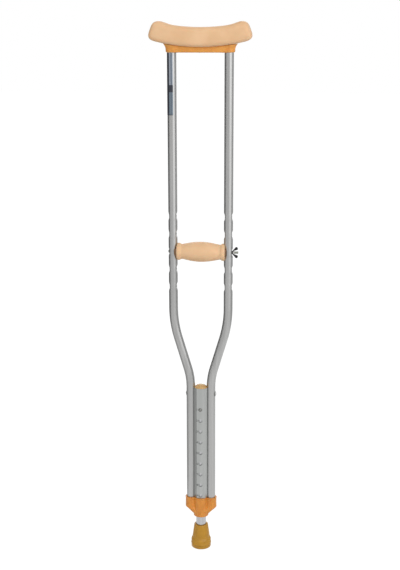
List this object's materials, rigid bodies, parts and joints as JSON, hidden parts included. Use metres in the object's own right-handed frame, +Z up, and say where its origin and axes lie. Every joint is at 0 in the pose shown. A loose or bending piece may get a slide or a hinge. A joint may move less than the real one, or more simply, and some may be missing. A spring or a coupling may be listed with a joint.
{
  "type": "underarm crutch",
  "caption": "Height-adjustable underarm crutch of aluminium tube, with a telescoping leg, a movable foam handgrip, a padded underarm rest and a rubber foot.",
  "frame": {"origin": "on the floor, at the middle of the rubber tip's base", "axes": "+Z up along the leg, -Y towards the snap button and height holes, +X towards the wing nut"},
  "size_m": [0.2108, 0.048, 1.1584],
  "materials": {
    "bow_aluminium": "satin",
    "centre_aluminium": "satin",
    "leg_aluminium": "satin",
    "bright_steel": "satin",
    "spring_steel": "satin",
    "amber_plastic": "satin",
    "black_plastic": "satin",
    "brown_plastic": "matte",
    "tip_rubber": "matte",
    "foam_skin": "matte",
    "label_film": "gloss"
  },
  "bodies": {
    "frame": {"centre_tube": "centre_aluminium", "bottom_bracket": "amber_plastic", "centre_cap": "amber_plastic", "left_bow_tube": "bow_aluminium", "right_bow_tube": "bow_aluminium", "frame_rivet": "bright_steel", "rivet_washer": "bright_steel", "grip_core": "brown_plastic", "grip_sleeve": "foam_skin", "crosspiece": "amber_plastic", "underarm_pad": "foam_skin", "tube_label": "label_film"},
    "leg": {"leg_tube": "leg_aluminium", "rubber_tip": "tip_rubber", "tip_washer": "bright_steel", "button_spring": "spring_steel"},
    "button": {"snap_button": "bright_steel"},
    "nut": {"wing_nut": "black_plastic", "wing_nut_insert": "bright_steel"},
    "bolt": {"grip_bolt": "bright_steel"}
  },
  "joints": [
    {"name": "leg_slide", "type": "slide", "parent": "frame", "child": "leg", "axis": [0, 0, -1], "range_m": [0, 0.2032], "deforming": ["snap_button"]},
    {"name": "button_press", "type": "slide", "parent": "leg", "child": "button", "axis": [0, 1, 0], "range_m": [0, 0.005], "stiffness_N_per_m": 1500, "deforming": ["button_spring"]},
    {"name": "wing_nut_turn", "type": "hinge", "parent": "frame", "child": "nut", "pos_m": [0.0665, 0, 0.6829], "axis": [1, 0, 0], "range_deg": [0, 2160]},
    {"name": "bolt_back_out", "type": "slide", "parent": "frame", "child": "bolt", "axis": [-1, 0, 0], "range_m": [0, 0.006]}
  ],
  "couplings": [
    {"joint": "wing_nut_turn", "follows": "bolt_back_out", "rad_per_m": 6283.2}
  ]
}
